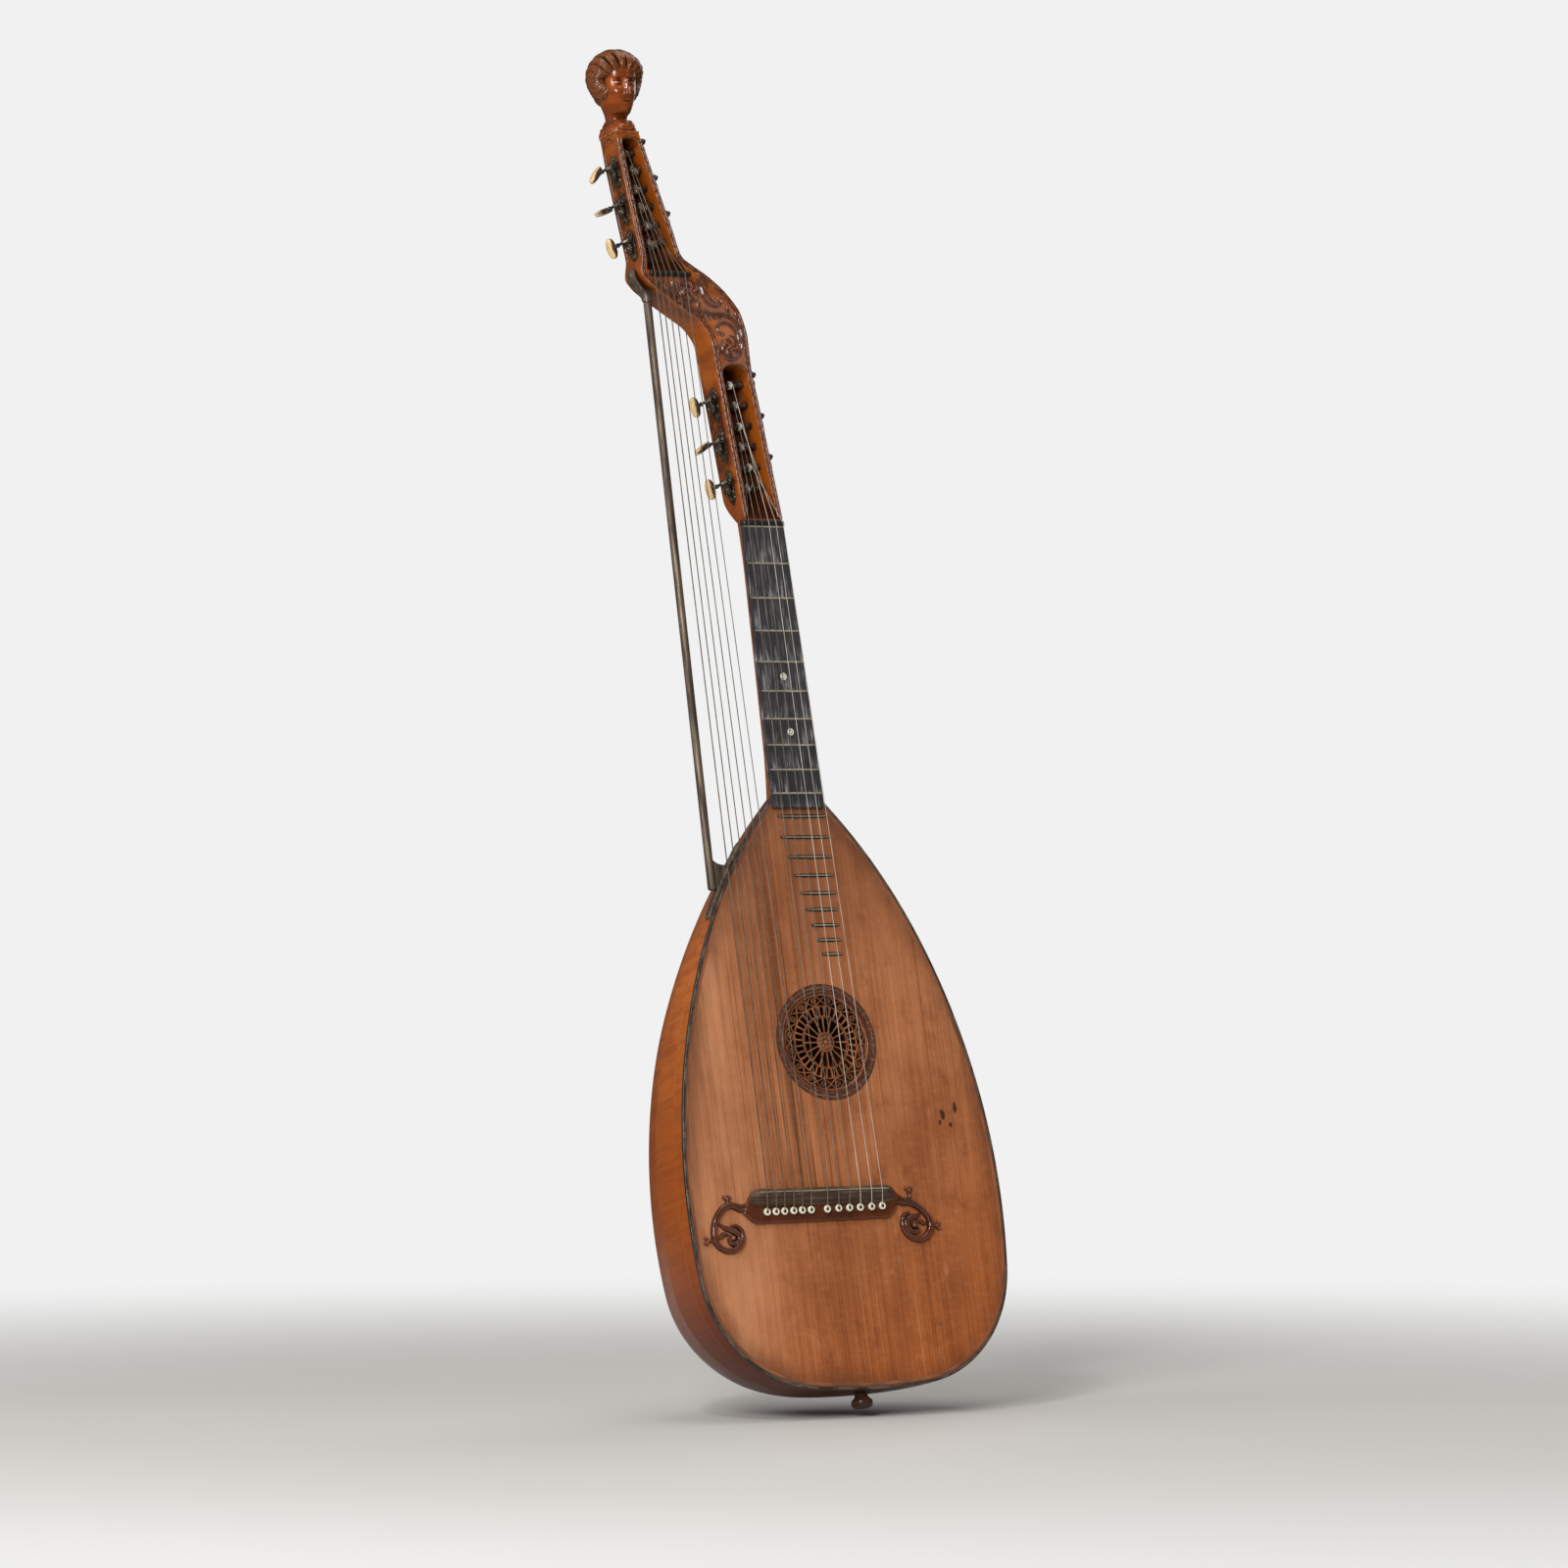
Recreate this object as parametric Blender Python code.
"""Bass lute with swan neck, twelve strings and worm tuners.

Lengths are millimetres in the lute's own frame (x to the treble side, y to the back with the
soundboard's front at 0, z up the strings with the saddle at 0) and are turned into metres by world().
The frame's origin is the middle of the end button's flat face.
"""
import math

import bmesh
import bpy
from mathutils import Matrix, Vector

# ---- driving dimensions -------------------------------------------------------------------
MM = 0.001
BUTTON_FACE_Z = -203.0
BUTTON_Y = 17.0
GAP = 0.3

STRING_LENGTH = 640.0
BODY_TOP = 377.0
BODY_BOTTOM = -188.0
HALF_WIDTH = 176.2
WIDEST_Z = -14.2
SIDE_R = 612.3
UPPER_R = 498.8
UPPER_FROM = 0.425
CORNER_R = 119.7
BASE_R = 626.9
BOWL_POWER = 2.3
BOWL_DEPTH = 0.98
BOWL_DEPTH_NECK = 0.80
SHELL = 3.0
TOP_THICK = 2.6
EDGE_WIDTH = 6.5

ROSETTE_Z = 142.0
ROSETTE_R = 50.2
NECK_FRETS = 9
LAST_FRET = 18

BOARD_FRONT = -5.5
BOARD_END = 367.0
BOARD_TOP = 640.9
BOARD_HALF_NUT = 23.1
BOARD_HALF_BODY = 28.6
NECK_END = 646.3
NECK_DEPTH_NUT = 15.5
FRET_HEIGHT = 1.0

HEAD_FROM = 646.6
HEAD_TOP = 1031.0
HEAD_BACK = 28.0
BASS_NUT_Z = 887.0
BUST_TOP = 1114.5

POST_R = 2.8
ROLLER_Y = 8.0
TEETH = 14
GEAR_R = 5.3
TOOTH = 0.5
COG_HALF = 1.5
COG_OUT = 4.8
WORM_DIST = 8.0
WORM_R = 2.4
SHAFT_R = 1.4
BUTTON_OUT = 27.5
PITCH = 2 * math.pi * GEAR_R / TEETH

# name, first roller height, step, left and right wall lines (x at z0, slope), z0, wall thickness
PEGBOXES = (
    ("lower", 680.5, 20.2, (-20.0, -0.071), (23.3, -0.0925), 640.0, 6.0),
    ("upper", 918.5, 17.9, (-98.3, -0.106), (-53.5, -0.252), 900.0, 5.0),
)
# the head's two side edges, as z and x knots for slope_curve
LEFT_EDGE = ((646, -20.43), (700, -24.26), (760, -28.52), (792, -30.79), (812, -31.7), (824, -33.2),
             (841, -42.9), (854, -61.3), (871, -85.9), (880, -96.5), (889, -102.0), (897, -100.6),
             (905, -98.83), (930, -101.48), (980, -106.78), (1031, -112.19))
RIGHT_EDGE = ((646, 22.75), (700, 17.75), (760, 12.2), (799, 8.59), (825, 8.8), (848, 4.8), (868, -8.0),
              (886, -28.0), (896, -43.5), (905, -54.76), (930, -61.06), (980, -73.66), (1031, -86.51))

STRINGS = (
    # name, radius, x at pin, x at nut, pegbox, roller, x offset on the roller
    ("string_01", 0.35, 35.3, 20.7, 0, 1, 5.0),
    ("string_02", 0.40, 23.2, 12.6, 0, 3, 3.0),
    ("string_03", 0.45, 10.4, 4.5, 0, 5, 1.5),
    ("string_04", 0.50, -1.7, -3.3, 0, 4, -1.5),
    ("string_05", 0.55, -14.0, -11.1, 0, 2, -4.0),
    ("string_06", 0.60, -26.6, -18.7, 0, 0, -6.5),
    ("string_07", 0.60, -44.8, -55.7, 1, 1, 4.0),
    ("string_08", 0.65, -54.7, -63.4, 1, 3, 3.0),
    ("string_09", 0.70, -64.3, -71.0, 1, 5, 1.0),
    ("string_10", 0.70, -74.6, -77.3, 1, 4, -1.0),
    ("string_11", 0.75, -84.0, -83.8, 1, 2, -3.5),
    ("string_12", 0.80, -93.9, -89.6, 1, 0, -5.0),
)
BUTTON_TURNS = (95, 75, 30, 35, 95, 60, 95, 110, 8, 15, 45, 80)

COLOURS = {
    "spruce": ((0.36, 0.14, 0.055), 0.45, 0.0),
    "carved_wood": ((0.16, 0.05, 0.02), 0.5, 0.0),
    "ebonised": ((0.035, 0.03, 0.03), 0.4, 0.0),
    "maple_ribs": ((0.42, 0.14, 0.03), 0.22, 0.0),
    "maple_head": ((0.4, 0.1, 0.02), 0.25, 0.0),
    "maple_neck": ((0.55, 0.3, 0.12), 0.35, 0.0),
    "inner_wood": ((0.6, 0.42, 0.25), 0.7, 0.0),
    "bridge_wood": ((0.09, 0.025, 0.012), 0.3, 0.0),
    "dark_brass": ((0.16, 0.12, 0.07), 0.4, 1.0),
    "tuner_steel": ((0.09, 0.085, 0.08), 0.4, 1.0),
    "plain_string": ((0.75, 0.74, 0.7), 0.3, 0.2),
    "wound_string": ((0.45, 0.42, 0.38), 0.35, 1.0),
}


# ---- helpers ------------------------------------------------------------------------------
def world(x, y, z):
    return Vector((x * MM, (y - BUTTON_Y) * MM, (z - BUTTON_FACE_Z) * MM))


def material(slot):
    mat = bpy.data.materials.get(slot)
    if mat is None:
        colour, rough, metal = COLOURS[slot]
        mat = bpy.data.materials.new(slot)
        mat.use_nodes = True
        bsdf = mat.node_tree.nodes["Principled BSDF"]
        bsdf.inputs["Base Color"].default_value = (*colour, 1.0)
        bsdf.inputs["Roughness"].default_value = rough
        bsdf.inputs["Metallic"].default_value = metal
        mat.diffuse_color = (*colour, 1.0)
    return mat


def add_object(name, bm, slot, origin=None, sharp=35.0):
    """Make an object from a bmesh in world metres, with its origin at the given point."""
    bmesh.ops.recalc_face_normals(bm, faces=bm.faces[:])
    if origin is not None:
        bmesh.ops.translate(bm, verts=bm.verts[:], vec=-origin)
    mesh = bpy.data.meshes.new(name)
    bm.to_mesh(mesh)
    bm.free()
    mesh.shade_smooth()
    mesh.set_sharp_from_angle(angle=math.radians(sharp))
    obj = bpy.data.objects.new(name, mesh)
    if origin is not None:
        obj.location = origin
    mesh.materials.append(material(slot))
    bpy.context.scene.collection.objects.link(obj)
    return obj


def loft(bm, rings, close=False):
    """Skin equal rings of points into one closed body. A ring of one point is a pole."""
    rows = [[bm.verts.new(p) for p in ring] for ring in rings]
    pairs = list(zip(rows, rows[1:]))
    if close:
        pairs.append((rows[-1], rows[0]))
    for a, b in pairs:
        n = max(len(a), len(b))
        for i in range(n):
            quad = [a[i % len(a)], a[(i + 1) % len(a)], b[(i + 1) % len(b)], b[i % len(b)]]
            face = []
            for v in quad:
                if v not in face:
                    face.append(v)
            bm.faces.new(face)
    if not close:
        for row in (rows[0], rows[-1]):
            if len(row) > 2:
                bm.faces.new(row)
    return bm


def lofted(name, rings, slot, origin=None, close=False, sharp=35.0):
    return add_object(name, loft(bmesh.new(), rings, close), slot, origin, sharp)


def prism(outline, y0, y1):
    """Rings for a flat outline in x and z, extruded from y0 to y1."""
    return [[world(x, y0, z) for x, z in outline], [world(x, y1, z) for x, z in outline]]


def box_rings(x0, x1, y0, y1, z0, z1):
    return prism([(x0, z0), (x1, z0), (x1, z1), (x0, z1)], y0, y1)


def disc(cx, cz, r, n, turn=0.0):
    angles = [2 * math.pi * (i + turn) / n for i in range(n)]
    return [(cx + r * math.cos(a), cz + r * math.sin(a)) for a in angles]


def cutter(name, parts):
    """A hidden tool object made of one or more separate closed bodies."""
    bm = bmesh.new()
    for rings in parts:
        loft(bm, rings)
    obj = add_object(name, bm, "inner_wood")
    obj.hide_render = True
    obj.display_type = "WIRE"
    return obj


def boolean(obj, tool, operation):
    mod = obj.modifiers.new(tool.name, "BOOLEAN")
    mod.operation = operation
    mod.solver = "EXACT"
    mod.object = tool


def slope_curve(knots, z):
    """Smooth curve through (z, x) knots that never overshoots and keeps straight runs straight."""
    n = len(knots)
    step = [(knots[i + 1][1] - knots[i][1]) / (knots[i + 1][0] - knots[i][0]) for i in range(n - 1)]
    k = 0
    while k < n - 2 and z > knots[k + 1][0]:
        k += 1

    def slope(i):
        if i == 0 or i == n - 1:
            return step[min(i, n - 2)]
        if step[i - 1] * step[i] <= 0:
            return 0.0
        return 2 * step[i - 1] * step[i] / (step[i - 1] + step[i])

    h = knots[k + 1][0] - knots[k][0]
    t = (z - knots[k][0]) / h
    a = knots[k][1] * (1 + 2 * t) * (1 - t) ** 2 + slope(k) * h * t * (1 - t) ** 2
    b = knots[k + 1][1] * t * t * (3 - 2 * t) + slope(k + 1) * h * t * t * (t - 1)
    return a + b


def fret_z(n):
    return STRING_LENGTH * 2 ** (-n / 12)


# ---- body outline -------------------------------------------------------------------------
def half_outline(counts=(9, 10, 6, 5)):
    """(x, z, nx, nz) down the treble side, from the neck to the bottom's middle."""
    side = Vector((HALF_WIDTH - SIDE_R, WIDEST_Z))
    ux, uz = math.cos(UPPER_FROM), math.sin(UPPER_FROM)
    upper = side + (SIDE_R - UPPER_R) * Vector((ux, uz))
    base = Vector((0.0, BODY_BOTTOM + BASE_R))
    gap = base - side
    d = gap.length
    ra = SIDE_R - CORNER_R
    rb = BASE_R - CORNER_R
    along = (ra * ra - rb * rb + d * d) / (2 * d)
    off = math.sqrt(ra * ra - along * along)
    corner = side + gap * (along / d) + Vector((gap.y, -gap.x)) * (off / d)
    to_side = math.atan2(corner.y - side.y, corner.x - side.x)
    to_base = math.atan2(corner.y - base.y, corner.x - base.x)
    top = math.asin((BODY_TOP - upper.y) / UPPER_R)
    arcs = ((upper, UPPER_R, top, UPPER_FROM), (side, SIDE_R, UPPER_FROM, to_side),
            (corner, CORNER_R, to_side, to_base), (base, BASE_R, to_base, -math.pi / 2))
    points = []
    for (centre, r, a0, a1), n in zip(arcs, counts):
        for i in range(n):
            a = a0 + (a1 - a0) * i / n
            c, s = math.cos(a), math.sin(a)
            points.append((centre.x + r * c, centre.y + r * s, c, s))
    points.append((0.0, BODY_BOTTOM, 0.0, -1.0))
    return points


def inset(points, d, top=BODY_TOP):
    """The outline moved inwards by d, and cut off level at the top."""
    moved = [(x - nx * d, z - nz * d) for x, z, nx, nz in points]
    a, b = moved[0], moved[1]
    t = (top - a[1]) / (b[1] - a[1])
    moved[0] = (a[0] + t * (b[0] - a[0]), top)
    return moved


def half_width(z, d=0.0):
    pts = inset(half_outline((40, 40, 20, 20)), d)
    for (x0, z0), (x1, z1) in zip(pts, pts[1:]):
        if z1 <= z <= z0:
            return x0 + (x1 - x0) * (z - z0) / (z1 - z0)
    return pts[0][0]


def depth_ratio(z):
    t = min(max((z - 130.0) / (BODY_TOP - 130.0), 0.0), 1.0)
    return BOWL_DEPTH + (BOWL_DEPTH_NECK - BOWL_DEPTH) * t * t * (3 - 2 * t)


def bowl_ring(w, z, y_rim, depth, n):
    """Half superellipse from the bass rim round the back to the treble rim."""
    ring = []
    for i in range(n + 1):
        a = math.pi * i / n
        c, s = math.cos(a), math.sin(a)
        x = -w * math.copysign(abs(c) ** (2 / BOWL_POWER), c) if 0 < i < n else (-w if i == 0 else w)
        y = y_rim + depth * abs(s) ** (2 / BOWL_POWER) if 0 < i < n else y_rim
        ring.append(world(x, y, z))
    return ring


def both_sides(half):
    return [(x, z) for x, z in half] + [(-x, z) for x, z in reversed(half[:-1])]


# ---- body ---------------------------------------------------------------------------------
def make_bowl():
    outline = half_outline((6, 7, 5, 4))
    rim = TOP_THICK + GAP
    n = 18
    outer = [(x, z) for x, z, _, _ in outline]
    inner = inset(outline, SHELL)
    bm = bmesh.new()
    shells = []
    for pts, less in ((outer, 0.0), (inner, SHELL)):
        rows = []
        for x, z in pts[:-1]:
            depth = depth_ratio(z) * (x + less) - less - rim
            rows.append([bm.verts.new(p) for p in bowl_ring(x, z, rim, depth, n)])
        pole = bm.verts.new(world(0.0, rim, pts[-1][1]))
        for a, b in zip(rows, rows[1:]):
            for i in range(n):
                bm.faces.new((a[i], a[i + 1], b[i + 1], b[i]))
        for i in range(n):
            bm.faces.new((rows[-1][i], rows[-1][i + 1], pole))
        shells.append((rows, pole))
    (ro, po), (ri, pi) = shells
    for i in range(n):
        bm.faces.new((ro[0][i], ro[0][i + 1], ri[0][i + 1], ri[0][i]))
    for col in (0, n):
        for k in range(len(ro) - 1):
            bm.faces.new((ro[k][col], ro[k + 1][col], ri[k + 1][col], ri[k][col]))
        bm.faces.new((ro[-1][col], po, pi, ri[-1][col]))
    return add_object("bowl_back", bm, "maple_ribs", sharp=50)


def make_soundboard():
    outline = half_outline()
    edge = both_sides(inset(outline, EDGE_WIDTH + GAP))
    board = lofted("soundboard", prism(edge, 0.0, TOP_THICK), "spruce")
    hole = disc(0.0, ROSETTE_Z, ROSETTE_R + 2 * GAP, 48)
    boolean(board, cutter("rosette_hole", [prism(hole, -2.0, TOP_THICK + 2.0)]), "DIFFERENCE")
    bars = []
    for n in range(NECK_FRETS + 1, LAST_FRET + 1):
        t = (n - NECK_FRETS - 1) / (LAST_FRET - NECK_FRETS - 1)
        left = -22.8 + 30.5 * max(0.0, (t - 0.11) / 0.89) ** 0.9
        z = fret_z(n)
        bars.append(box_rings(left, 32.2 - 1.6 * t, -1.6, 0.8, z - 1.1, z + 1.1))
    boolean(board, cutter("belly_frets", bars), "UNION")

    outer = [(x, z) for x, z, _, _ in outline]
    inner = inset(outline, EDGE_WIDTH)
    strip = []
    path_out = both_sides(outer)
    path_in = both_sides(inner)
    for (xo, zo), (xi, zi) in zip(path_out, path_in):
        front = [world(xo, 0.0, zo), world(xi, 0.0, zi)]
        strip.append(front + [world(xi, TOP_THICK, zi), world(xo, TOP_THICK, zo)])
    lofted("edge_binding", strip, "ebonised")


def make_rosette():
    """Wheel of two spoke rows between rings, cut from one thin board."""
    radii = (7.0, 20.0, 24.0, 38.0, ROSETTE_R)
    spoke_rows = (0, 2)
    n = 32
    bm = bmesh.new()
    grid = []
    for y in (0.35, 2.25):
        hub = bm.verts.new(world(0.0, y, ROSETTE_Z))
        rows = []
        for r in radii:
            rows.append([bm.verts.new(world(x, y, z)) for x, z in disc(0.0, ROSETTE_Z, r, n)])
        grid.append((hub, rows))

    def open_cell(k, i):
        return k in spoke_rows and i % 2 == 1

    for hub, rows in grid:
        for i in range(n):
            j = (i + 1) % n
            bm.faces.new((hub, rows[0][i], rows[0][j]))
            for k in range(len(radii) - 1):
                if not open_cell(k, i):
                    bm.faces.new((rows[k][i], rows[k + 1][i], rows[k + 1][j], rows[k][j]))
    (_, front), (_, back) = grid
    for i in range(n):
        j = (i + 1) % n
        bm.faces.new((front[-1][i], front[-1][j], back[-1][j], back[-1][i]))
        for k in spoke_rows:
            if open_cell(k, i):
                bm.faces.new((front[k][i], front[k][j], back[k][j], back[k][i]))
                bm.faces.new((front[k + 1][i], front[k + 1][j], back[k + 1][j], back[k + 1][i]))
            if open_cell(k, i) != open_cell(k, (i - 1) % n):
                bm.faces.new((front[k][i], front[k + 1][i], back[k + 1][i], back[k][i]))
    add_object("rosette", bm, "carved_wood")


def make_inside():
    rim = TOP_THICK + GAP
    rows = []
    for z in (330.0, 345.0, 360.0, BODY_TOP - 0.3):
        w = half_width(z) - SHELL - 1.5
        depth = depth_ratio(z) * (w + SHELL + 1.5) - SHELL - 1.5 - rim
        rows.append(bowl_ring(w, z, rim, depth, 12))
    lofted("neck_block", rows, "inner_wood")
    rows = []
    for z, r in ((-183.0, 38.0), (-168.0, 42.0)):
        rows.append(bowl_ring(r, z, rim, r * 0.9, 12))
    lofted("end_block", rows, "inner_wood")
    for name, z in (("brace_upper", 228.0), ("brace_lower", 50.0)):
        half = half_width(z, EDGE_WIDTH) - 4.0
        right = ((half, rim), (half - 2.0, 9.0), (half - 22.0, 17.0))
        section = right + tuple((-x, y) for x, y in reversed(right))
        rings = [[world(x, y, zz) for x, y in section] for zz in (z - 3.0, z + 3.0)]
        lofted(name, rings, "inner_wood")


def make_end_button():
    profile = ((0.0, -185.6), (5.5, -185.6), (5.5, -188.6), (6.4, -189.4), (6.2, -192.0), (9.6, -195.5),
               (10.2, -198.5), (9.0, -201.8), (6.8, -203.0), (0.0, -203.0))
    rings = []
    for r, z in profile:
        if r == 0.0:
            rings.append([world(0.0, BUTTON_Y, z)])
        else:
            rings.append([world(x, BUTTON_Y + y, z) for x, y in disc(0.0, 0.0, r, 20)])
    lofted("end_button", rings, "ebonised")
    hole = disc(0.0, 0.0, 6.9, 20)
    tool = cutter("button_hole", [[[world(x, BUTTON_Y + y, z) for x, y in hole] for z in (-196.0, -183.2)]])
    boolean(bpy.data.objects["bowl_back"], tool, "DIFFERENCE")


# ---- neck and fingerboard -----------------------------------------------------------------
def board_half(z):
    t = (z - fret_z(NECK_FRETS)) / (BOARD_TOP - fret_z(NECK_FRETS))
    return BOARD_HALF_BODY + (BOARD_HALF_NUT - BOARD_HALF_BODY) * t


def make_neck():
    w0 = half_width(BODY_TOP) - 0.1
    d0 = depth_ratio(BODY_TOP) * w0
    rows = []
    for i in range(9):
        t = i / 8
        z = BODY_TOP + GAP + (NECK_END - BODY_TOP - GAP) * t
        heel = (1 - t) ** 3
        w = w0 + (BOARD_HALF_NUT - w0) * t
        depth = NECK_DEPTH_NUT + (19.0 - NECK_DEPTH_NUT) * (1 - t) + (d0 - 19.0) * heel
        rows.append(bowl_ring(w, z, 0.0, depth, 12))
    lofted("neck", rows, "maple_neck", sharp=50)

    profile = [(BOARD_END, 0.0)]
    for n in range(NECK_FRETS, -1, -1):
        z = fret_z(n)
        low = min(z + 1.0, BOARD_TOP)
        profile += [(z - 1.0, 0.0), (z - 0.5, FRET_HEIGHT), (z + 0.5, FRET_HEIGHT), (low, 0.0)]
    rows = []
    for z, up in profile:
        w = board_half(z)
        front = BOARD_FRONT
        rows.append([world(-w, -GAP, z), world(-w, front + 0.8 - up, z), world(-w + 1.2, front - up, z),
                     world(w - 1.2, front - up, z), world(w, front + 0.8 - up, z), world(w, -GAP, z)])
    lofted("fingerboard", rows, "ebonised")

    z0 = BOARD_TOP + GAP
    section = ((z0, -GAP), (z0, -6.4), (z0 + 1.2, -7.2), (z0 + 3.0, -7.2), (z0 + 4.6, -6.2), (z0 + 4.6, -GAP))
    half = BOARD_HALF_NUT
    lofted("nut", [[world(x, y, z) for z, y in section] for x in (-half, half)], "ebonised")


# ---- head ---------------------------------------------------------------------------------
def head_back(z):
    t = min(max((z - HEAD_FROM) / 26.0, 0.0), 1.0)
    low = NECK_DEPTH_NUT + (HEAD_BACK - NECK_DEPTH_NUT) * math.sin(t * math.pi / 2)
    top = min(max((z - 1000.0) / (HEAD_TOP - 1000.0), 0.0), 1.0)
    return low - 2.0 * top


def head_ring(z):
    left = slope_curve(LEFT_EDGE, z)
    right = slope_curve(RIGHT_EDGE, z)
    back = head_back(z)
    f = BOARD_FRONT
    t = min(max((z - HEAD_FROM) / 26.0, 0.0), 1.0)
    rb = 11.0 + (4.0 - 11.0) * t
    ring = [(left, f + 1.0), (left + 1.0, f), (right - 1.0, f), (right, f + 1.0)]
    for i in range(4):
        a = math.pi / 2 * i / 3
        ring.append((right - rb + rb * math.cos(a), back - rb + rb * math.sin(a)))
    for i in range(4):
        a = math.pi / 2 * (1 + i / 3)
        ring.append((left + rb + rb * math.cos(a), back - rb + rb * math.sin(a)))
    return [world(x, y, z) for x, y in ring]


def wall_x(box, side, z):
    x0, slope = box[3] if side < 0 else box[4]
    return x0 + slope * (z - box[5])


def tuner_frame(box, i):
    """Side, tilt angle and the cog's centre of tuner i, with the roller's length."""
    side = -1 if i % 2 == 0 else 1
    slope = (box[3][1] + box[4][1]) / 2
    tilt = math.atan(slope)
    z = box[1] + box[2] * i
    mid = (wall_x(box, -1, z) + wall_x(box, 1, z)) / 2
    half = (wall_x(box, 1, z) - wall_x(box, -1, z)) / 2 * math.cos(tilt)
    axis = Vector((math.cos(tilt), 0.0, -math.sin(tilt)))
    up = Vector((math.sin(tilt), 0.0, math.cos(tilt)))
    centre = Vector((mid, ROLLER_Y, z)) + axis * side * (half + COG_OUT)
    return side, tilt, axis, up, centre, half


def slot_ring(box, z, floor, narrow=0.0):
    wall = box[6] + narrow
    left = wall_x(box, -1, z) + wall
    right = wall_x(box, 1, z) - wall
    return [world(left, -9.0, z), world(right, -9.0, z), world(right, floor, z), world(left, floor, z)]


def make_head():
    heights = [HEAD_FROM, 649.0, 653.0, 658.0, 664.0, 672.6, 700.0, 760.0, 792.0, 799.0, 812.0]
    heights += [818.0 + 5.0 * i for i in range(18)] + [909.0, 930.0, 980.0, 1000.0, HEAD_TOP]
    head = lofted("pegbox_head", [head_ring(z) for z in heights], "maple_head", sharp=40)
    lower, upper = PEGBOXES
    arch = [(t, 1 - math.sqrt(1 - t * t)) for t in (0.35, 0.7, 0.9)]
    low_slot = [slot_ring(lower, 647.6, -3.0, -3.6), slot_ring(lower, 660.0, 8.0, -2.0)]
    low_slot += [slot_ring(lower, z, 21.0) for z in (676.0, 786.0)]
    low_slot += [slot_ring(lower, 786.0 + 12.0 * t, 21.0, 13.0 * s) for t, s in arch]
    wide = [(-95.5, -9.0), (-51.0, -9.0), (-51.0, 0.0), (-95.5, 0.0)]
    top_slot = [[world(x, y, 890.0) for x, y in wide]]
    top_slot += [slot_ring(upper, z, 21.0) for z in (905.0, 1012.0)]
    top_slot += [slot_ring(upper, 1012.0 + 9.0 * t, 21.0, 10.0 * s) for t, s in arch]
    boolean(head, cutter("string_slots", [low_slot, top_slot]), "DIFFERENCE")
    bores = []
    for box in PEGBOXES:
        for i in range(6):
            side, _, axis, up, centre, half = tuner_frame(box, i)
            start = centre - axis * side * 2.8
            end = centre - axis * side * (COG_OUT + 2 * half - 2.7)
            bores.append([tube_ring(p, axis, up, POST_R + 0.35, 12) for p in (start, end)])
    boolean(head, cutter("post_bores", bores), "DIFFERENCE")


def tube_ring(point, axis, up, r, n):
    """A circle of n points round an axis, given in the lute's frame."""
    across = axis.cross(up)
    ring = []
    for i in range(n):
        a = 2 * math.pi * i / n
        p = point + up * (r * math.cos(a)) + across * (r * math.sin(a))
        ring.append(world(*p))
    return ring


def make_bust():
    """Head and shoulders with hair drawn up, as one plain turned body."""
    rows = []
    # height, half width, half depth, and the section's middle in x and y
    shape = ((1031.3, 12.8, 15.5, -99.0, 11.0), (1036.0, 14.5, 16.5, -98.0, 11.0),
             (1041.0, 14.0, 15.0, -96.5, 11.0), (1046.0, 10.0, 11.0, -95.0, 11.0),
             (1052.0, 10.5, 13.0, -94.5, 10.5), (1060.0, 15.5, 19.5, -94.0, 10.5),
             (1070.0, 20.0, 23.5, -93.5, 11.5), (1082.0, 23.5, 26.0, -93.5, 12.0),
             (1094.0, 24.5, 26.0, -93.5, 12.0), (1104.0, 20.5, 21.5, -93.5, 12.0),
             (1111.0, 12.5, 13.0, -93.5, 12.0))
    for z, a, b, cx, cy in shape:
        rows.append([world(cx + a * x, cy + b * y, z) for x, y in disc(0.0, 0.0, 1.0, 16)])
    rows.append([world(-93.5, 12.0, BUST_TOP)])
    lofted("bust_finial", rows, "maple_head", sharp=60)


def make_bass_nut():
    z = BASS_NUT_Z
    foot = BOARD_FRONT - GAP
    section = ((z - 2.0, foot), (z - 1.6, -7.6), (z, -8.0), (z + 1.6, -7.6), (z + 2.0, foot))
    lofted("bass_nut", [[world(x, y, zz) for zz, y in section] for x in (-93.0, -48.5)], "ebonised")


# ---- tuners -------------------------------------------------------------------------------
def make_roller(name, box, i):
    side, tilt, axis, up, centre, half = tuner_frame(box, i)
    across = axis.cross(up)
    n = 2 * TEETH
    far = 2 * half + COG_OUT - 3.1

    def ring(dist, radius):
        pts = []
        for k in range(n):
            a = 2 * math.pi * (k + 1) / n
            r = radius if radius else GEAR_R - 0.05 + (TOOTH if k % 2 == 0 else -TOOTH)
            p = centre + axis * dist + up * (r * math.cos(a)) + across * (r * math.sin(a))
            pts.append(world(*p))
        return pts

    rings = [ring(side * COG_HALF, 0), ring(-side * COG_HALF, 0), ring(-side * COG_HALF, POST_R),
             ring(-side * far, POST_R)]
    lofted(name, rings, "tuner_steel", origin=world(*centre), sharp=30)


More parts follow.
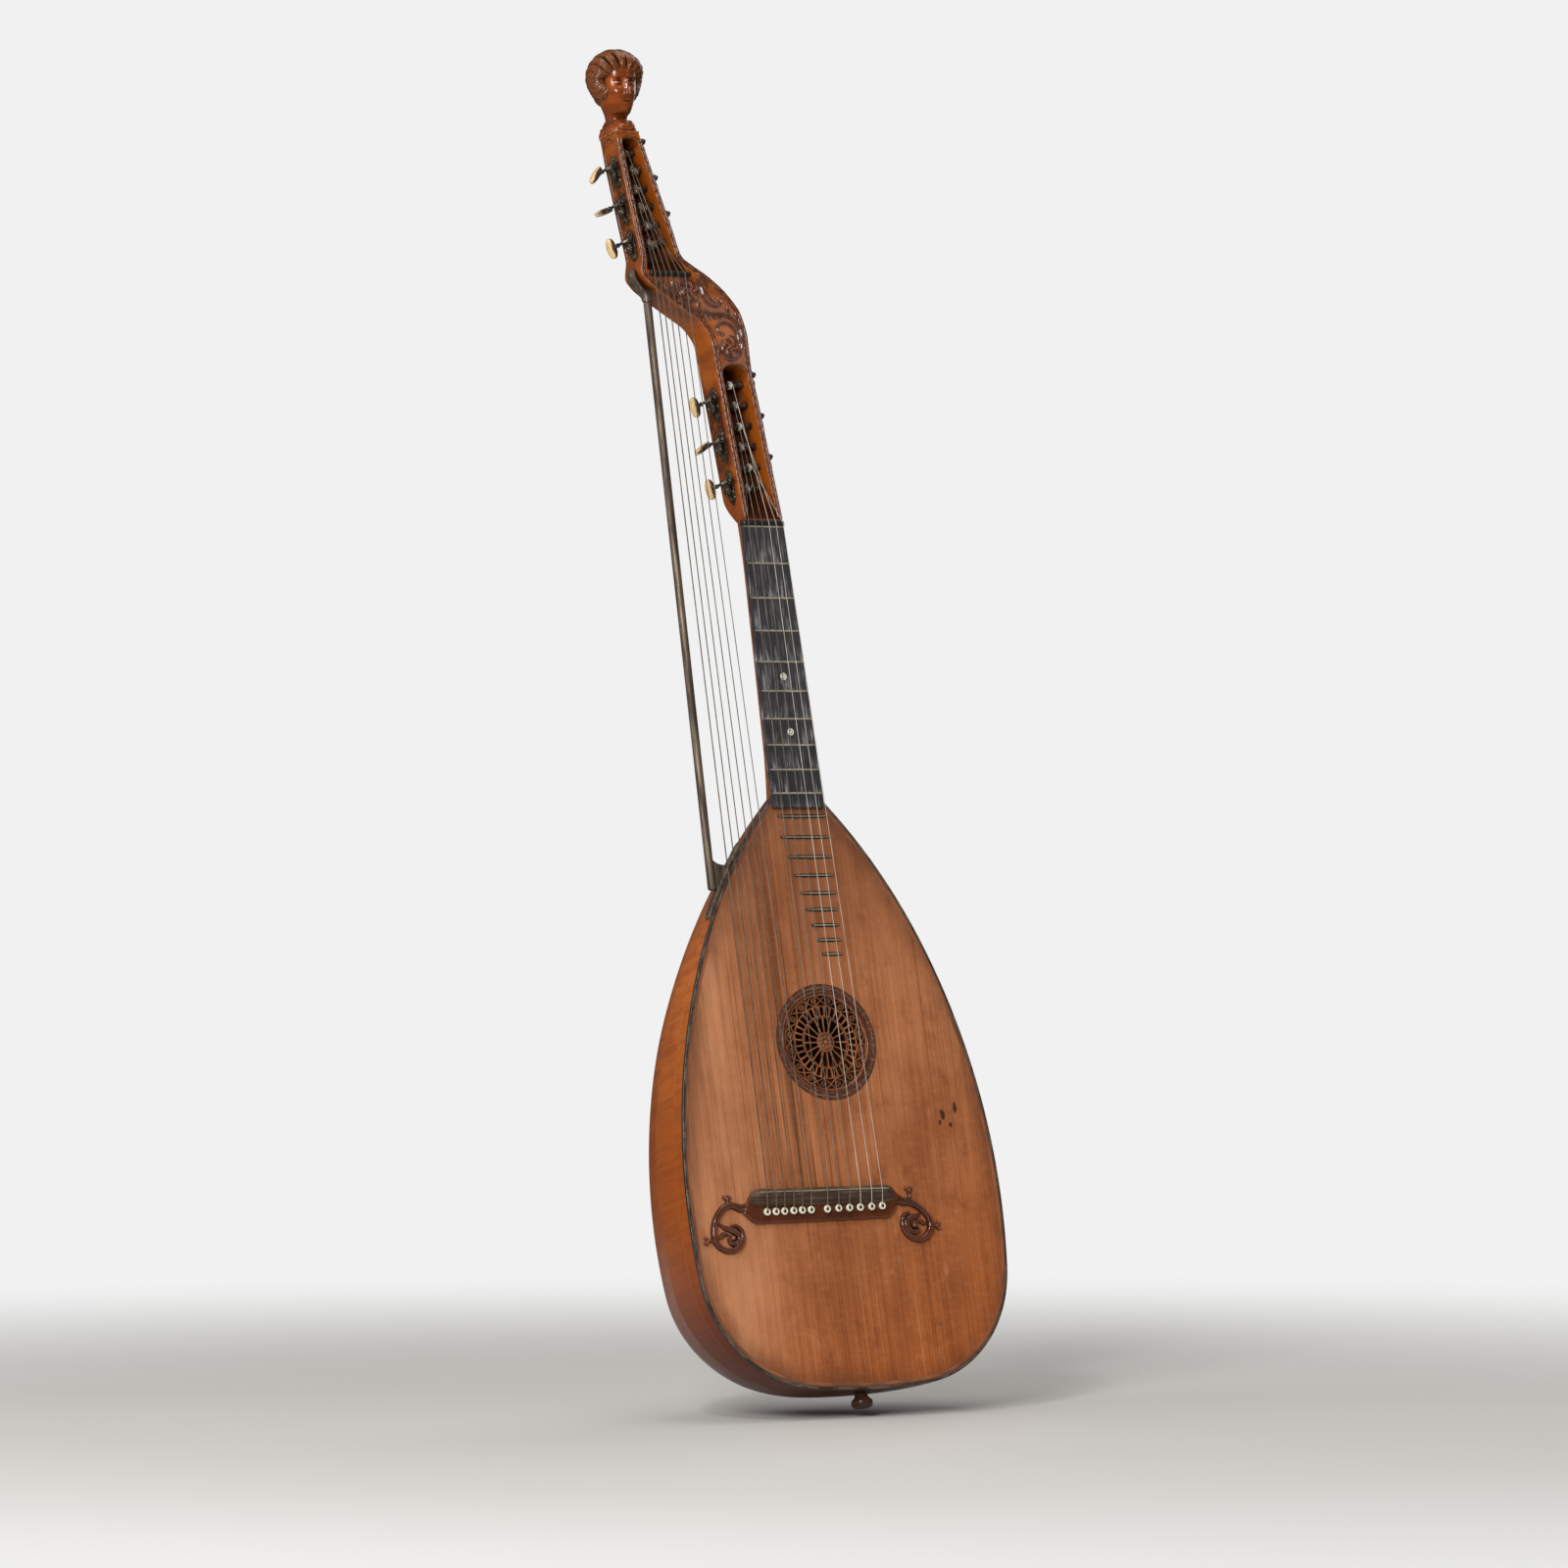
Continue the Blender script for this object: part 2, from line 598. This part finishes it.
def make_key(name, box, i, turn):
    """Worm, shaft and button, turned about the y axis at the worm's centre."""
    side, tilt, axis, up, centre, half = tuner_frame(box, i)
    origin = centre + up * WORM_DIST
    n = 8
    rings = [[Vector((0.0, -10.0, 0.0))]]

    def plain(y, r):
        angles = [2 * math.pi * k / n for k in range(n)]
        return [Vector((r * math.sin(a), y, r * math.cos(a))) for a in angles]

    rings += [plain(-9.4, 1.4), plain(-8.2, 1.9), plain(-7.0, SHAFT_R), plain(-3.9, SHAFT_R)]
    for j in range(11):
        y = (j - 5) * PITCH / 4
        ring = []
        for k in range(n):
            turns = k / n
            r = WORM_R + TOOTH * math.cos(2 * math.pi * (y / PITCH - turns + 0.5))
            ring.append(Vector((r * math.sin(2 * math.pi * turns), y, r * math.cos(2 * math.pi * turns))))
        rings.append(ring)
    rings += [plain(3.9, SHAFT_R), plain(7.0, SHAFT_R), plain(7.6, 1.9), plain(BUTTON_OUT - 6.6, 1.9)]
    phase = math.radians(turn)
    for s in (-0.92, -0.6, 0.0, 0.6, 0.92):
        size = math.sqrt(1 - s * s)
        a, b = 10.0 * size, 3.0 * (0.35 + 0.65 * size)
        ring = []
        for k in range(n):
            t = 2 * math.pi * k / n
            x = a * math.sin(t)
            z = b * math.cos(t)
            flat = x * math.cos(phase) - z * math.sin(phase)
            ring.append(Vector((flat, BUTTON_OUT + 6.5 * s, x * math.sin(phase) + z * math.cos(phase))))
        rings.append(ring)
    turn_back = Matrix.Rotation(tilt, 4, "Y")
    placed = []
    for ring in rings:
        placed.append([world(*(origin + turn_back @ v)) for v in ring])
    lofted(name, placed, "tuner_steel", origin=world(*origin), sharp=60)


def make_plate(name, box, side):
    """Long side plate with two bearing lugs for each worm shaft."""
    picks = [i for i in range(6) if (i % 2 == 0) == (side < 0)]
    slope = (box[3] if side < 0 else box[4])[1]
    lean = math.atan(slope)
    out = Vector((math.cos(lean), 0.0, -math.sin(lean))) * side
    run = Vector((math.sin(lean), 0.0, math.cos(lean)))
    base = []
    lugs = []
    bores = []
    for i in picks:
        _, tilt, axis, up, centre, half = tuner_frame(box, i)
        spot = Vector((wall_x(box, side, centre.z), ROLLER_Y, centre.z))
        base.append(spot)
        for y0 in (-6.3, 4.1):
            lug = []
            for y in (y0, y0 + 2.2):
                ring = []
                for dx, dz in ((3.9, -2.6), (-4.2, -2.6), (-4.2, 2.6), (3.9, 2.6)):
                    p = centre + axis * side * dx + up * (WORM_DIST + dz) + Vector((0.0, y, 0.0))
                    ring.append(world(*p))
                lug.append(ring)
            lugs.append(lug)
        worm = centre + up * WORM_DIST
        back = Vector((0.0, 1.0, 0.0))
        bores.append([tube_ring(worm + back * y, back, up, SHAFT_R + 0.35, 10) for y in (-8.0, 8.0)])
        ends = (centre - axis * side * 2.8, centre - axis * side * 8.0)
        bores.append([tube_ring(p, axis, up, POST_R + 0.35, 12) for p in ends])
    low = base[0] - run * 10.5
    high = base[-1] + run * 14.0
    rings = []
    corners = ((low, -6.5), (low, 6.5), (high, 6.5), (high, -6.5))
    for d in (0.4, 1.5):
        rings.append([world(*(p + out * d + Vector((0.0, y, 0.0)))) for p, y in corners])
    plate = lofted(name, rings, "tuner_steel")
    boolean(plate, cutter(name + "_lugs", lugs), "UNION")
    boolean(plate, cutter(name + "_bores", bores), "DIFFERENCE")


def make_tuners():
    key = 0
    for box in PEGBOXES:
        for side, label in ((-1, "bass"), (1, "treble")):
            make_plate("tuner_plate_%s_%s" % (box[0], label), box, side)
        for i in range(6):
            key += 1
            make_roller("roller_%02d" % key, box, i)
            make_key("key_%02d" % key, box, i, BUTTON_TURNS[key - 1])


# ---- bridge -------------------------------------------------------------------------------
def make_bridge():
    top, low = -4.5, -GAP
    base = [(-106.0, 3.4), (46.5, 3.4), (48.5, -8.0), (54.0, -15.0), (42.0, -26.5), (-104.0, -28.0),
            (-114.0, -16.5), (-108.5, -8.0)]
    bridge = lofted("bridge", prism(base, top, low), "bridge_wood")
    scrolls = []
    pins = []
    for side, cx, cz, root in ((-1, -135.0, -37.0, (-112.0, -15.0)), (1, 73.5, -33.5, (52.0, -13.5))):
        scrolls.append(prism(disc(cx, cz, 17.5, 20), top + 0.6, low))
        bud = (cx - side * 1.5, cz + 33.0)
        inboard = root[0] - side * 6.0
        arm = [(inboard, root[1] + 6.0), (inboard, root[1] - 6.0), (cx - side * 9.0, cz + 12.0)]
        arm += [(cx + side * 4.0, cz + 13.0), (bud[0] + side * 3.0, bud[1] - 2.0), (bud[0], bud[1] + 3.0)]
        arm += [(bud[0] - side * 3.0, bud[1] - 2.0), (cx - side * 5.0, cz + 19.0)]
        scrolls.append(prism(arm, top + 1.1, low - 0.05))
        tip = (cx + side * 25.0, cz - 3.5)
        stem = [(tip[0] - side * 11.0, tip[1] - 5.0), (tip[0], tip[1] - 3.5), (tip[0] + side * 3.0, tip[1]),
                (tip[0], tip[1] + 3.5), (tip[0] - side * 11.0, tip[1] + 3.0)]
        scrolls.append(prism(stem, top + 1.3, low - 0.1))
    for k, rings in enumerate(scrolls):
        boolean(bridge, cutter("scroll_%d" % k, [rings]), "UNION")
    for _, _, x, _, _, _, _ in STRINGS:
        pins.append(prism(disc(x, pin_z(x), 3.3, 10), -7.6, -2.0))
    boolean(bridge, cutter("pins", pins), "UNION")

    section = ((3.2, -4.8), (3.2, -7.0), (1.8, -8.8), (0.3, -9.3), (-1.2, -8.8), (-2.6, -7.9), (-4.8, -8.0),
               (-6.6, -7.2), (-7.6, -5.8), (-7.6, -4.8))
    rows = []
    for x, f in ((-107.5, 0.35), (-103.0, 1.0), (42.5, 1.0), (47.0, 0.35)):
        rows.append([world(x, -4.8 + (y + 4.8) * f, -2.2 + (z + 2.2) * (0.5 + 0.5 * f)) for z, y in section])
    lofted("saddle", rows, "ebonised")


def pin_z(x):
    return -18.5 + 2.0 * (x + 94.0) / 130.0


# ---- strings ------------------------------------------------------------------------------
def make_strings():
    for name, r, x_pin, x_nut, which, i, shift in STRINGS:
        box = PEGBOXES[which]
        lift = r + GAP + 0.1
        z_pin = pin_z(x_pin) + 3.3 + lift
        nut_z, nut_y = ((BOARD_TOP + GAP + 2.1, -7.2), (BASS_NUT_Z, -8.0))[which]
        _, tilt, axis, up, centre, half = tuner_frame(box, i)
        z = box[1] + box[2] * i
        mid = (wall_x(box, -1, z) + wall_x(box, 1, z)) / 2
        end = Vector((mid, ROLLER_Y, z)) + axis * shift
        end.y -= POST_R + lift
        a = Vector((x_pin, -9.3 - lift, 0.3))
        b = Vector((x_nut, nut_y - lift, nut_z))
        before_nut = b + (a - b).normalized()
        route = [Vector((x_pin, -5.7 - lift, z_pin)), Vector((x_pin, -8.2 - lift, -5.0))]
        route += [a + Vector((0.0, 0.05, -0.8)), a.lerp(b, 0.001), a.lerp(b, 0.5), before_nut]
        route += [b + (end - b) * 0.03, end]
        rings = []
        for k, p in enumerate(route):
            before = route[max(k - 1, 0)]
            after = route[min(k + 1, len(route) - 1)]
            run = (after - before).normalized()
            u = Vector((0.0, 1.0, 0.0)).cross(run).normalized()
            v = run.cross(u)
            rings.append([world(*(p + u * x + v * y)) for x, y in disc(0.0, 0.0, r, 6)])
        lofted(name, rings, "plain_string" if r < 0.5 else "wound_string", sharp=80)


# ---- support rod --------------------------------------------------------------------------
ROD_LOW = Vector((-102.9, 5.4, 290.0))
ROD_HIGH = Vector((-91.2, 8.0, 861.5))
ROD_R = 3.9


def make_rod():
    run = (ROD_HIGH - ROD_LOW).normalized()
    up = Vector((0.0, 1.0, 0.0))
    up = (up - run * up.dot(run)).normalized()
    ends = ((ROD_LOW, ROD_R - 1.0), (ROD_LOW + run, ROD_R), (ROD_HIGH - run, ROD_R), (ROD_HIGH, ROD_R - 1.0))
    rings = [tube_ring(p, run, up, r, 12) for p, r in ends]
    lofted("support_rod", rings, "dark_brass")

    # x, z, half thickness and half width along the flat tongue
    path = ((-91.1, 862.0, 3.6, 3.6), (-91.4, 866.0, 3.9, 4.2), (-93.8, 870.6, 2.2, 5.4),
            (-99.2, 876.4, 1.5, 6.2), (-103.4, 882.0, 1.2, 6.4), (-105.2, 888.4, 1.1, 6.2),
            (-104.3, 896.0, 1.0, 5.6), (-103.0, 902.5, 1.0, 3.0))
    rows = []
    for k, (x, z, thin, wide) in enumerate(path):
        x0, z0 = path[max(k - 1, 0)][:2]
        x1, z1 = path[min(k + 1, len(path) - 1)][:2]
        run = Vector((x1 - x0, z1 - z0)).normalized()
        nx, nz = run.y, -run.x
        y = 8.0 + 1.5 * min(k / 3, 1.0)
        ring = []
        for m in range(10):
            a = 2 * math.pi * m / 10
            c = math.copysign(abs(math.cos(a)) ** 0.6, math.cos(a))
            s = math.copysign(abs(math.sin(a)) ** 0.6, math.sin(a))
            ring.append(world(x + nx * thin * c, y + wide * s, z + nz * thin * c))
        rows.append(ring)
    lofted("rod_upper_bracket", rows, "dark_brass")


def make_lower_bracket():
    """Strip screwed along the bowl's side, with a web that holds the rod's foot."""
    points = [p for p in half_outline((36, 10, 6, 5)) if 262.0 < p[1] < 334.0]
    rows = []
    for k, (x, z, nx, nz) in enumerate(points):
        end = min(k, len(points) - 1 - k)
        half = (3.0, 4.2)[end > 0] if end < 2 else 4.5
        ring = []
        for d, dy in ((0.5, -half), (2.4, -half + 0.5), (2.8, 0.0), (2.4, half - 0.5), (0.5, half)):
            ring.append(world(-(x + nx * d), 7.6 + dy, z + nz * d))
        rows.append(ring)
    bracket = lofted("rod_lower_bracket", rows, "dark_brass")
    rod = Vector((ROD_HIGH.x - ROD_LOW.x, ROD_HIGH.z - ROD_LOW.z)) / (ROD_HIGH.z - ROD_LOW.z)

    def rod_side(z):
        return ROD_LOW.x + rod.x * (z - ROD_LOW.z) + ROD_R + 0.4

    inner = [(-(x + nx * 1.6), z + nz * 1.6) for x, z, nx, nz in points if 297.0 < z < 322.0]
    top = rod_side(319.0)
    hook = [(top + 10.5, 316.4), (top + 6.5, 315.4), (top + 2.5, 316.8), (top, 319.0)]
    outline = inner[::-1] + hook + [(rod_side(298.0), 298.0)]
    boolean(bracket, cutter("bracket_web", [prism(outline, 5.6, 8.6)]), "UNION")


def main():
    for obj in list(bpy.data.objects):
        bpy.data.objects.remove(obj, do_unlink=True)
    make_bowl()
    make_soundboard()
    make_rosette()
    make_inside()
    make_end_button()
    make_neck()
    make_head()
    make_bust()
    make_bass_nut()
    make_tuners()
    make_bridge()
    make_strings()
    make_rod()
    make_lower_bracket()


main()
